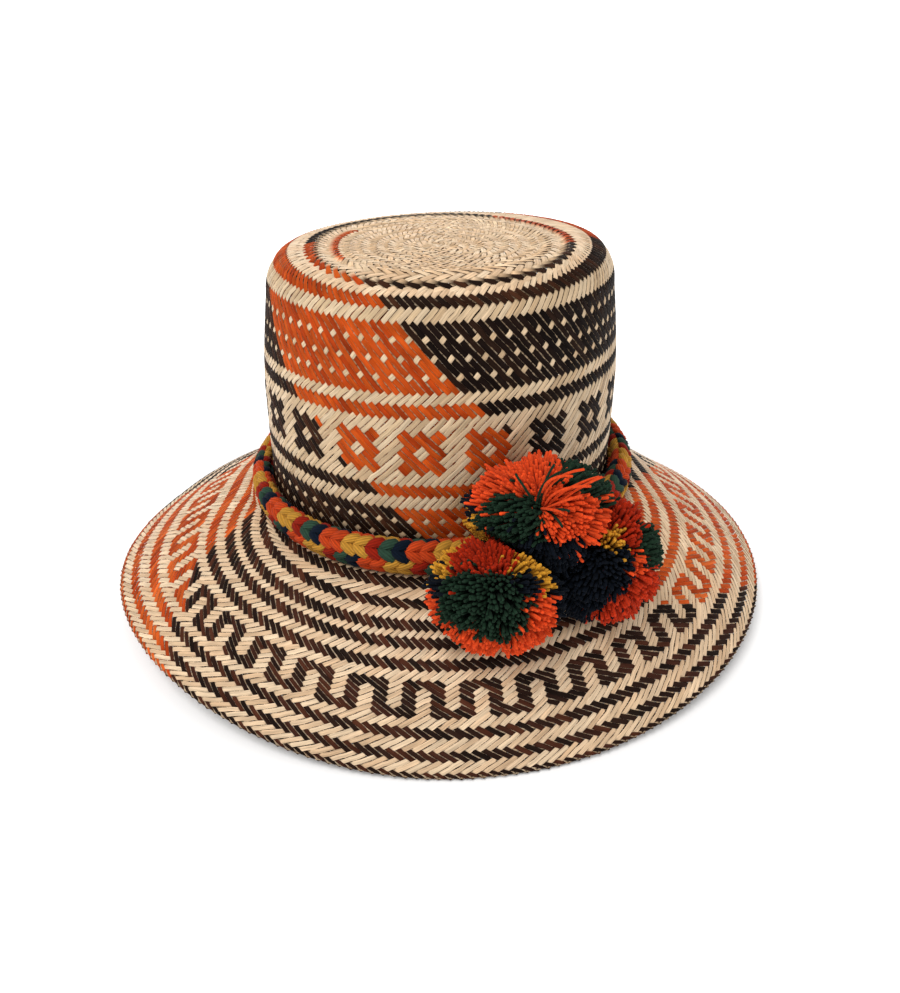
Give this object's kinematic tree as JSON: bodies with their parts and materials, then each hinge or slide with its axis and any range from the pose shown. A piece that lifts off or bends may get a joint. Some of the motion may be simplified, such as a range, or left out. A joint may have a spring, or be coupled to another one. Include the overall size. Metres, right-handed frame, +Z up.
{
  "type": "woven straw hat",
  "caption": "Plaited straw hat with a straight round crown, a drooping woven brim, a plaited yarn band and a cluster of yarn pompoms at its front.",
  "frame": {"origin": "middle of the bounding box's bottom, on the surface that the rim rests on", "axes": "+Z up, -Y towards the front of the hat, where the pompoms are, +X to its right as seen from the front"},
  "size_m": [0.3662, 0.343, 0.1789],
  "materials": {
    "straw": "matte plaited palm straw, natural with dyed orange and dark brown strands",
    "band_yarn": "plaited cotton yarn in orange, yellow, red, green and navy",
    "pompom_yarn": "cut cotton yarn in orange, red, green, navy and yellow"
  },
  "bodies": {
    "root": {"woven_body": "straw", "hatband_braid": "band_yarn", "pompom_upper": "pompom_yarn", "pompom_left": "pompom_yarn", "pompom_right": "pompom_yarn"}
  },
  "joints": []
}
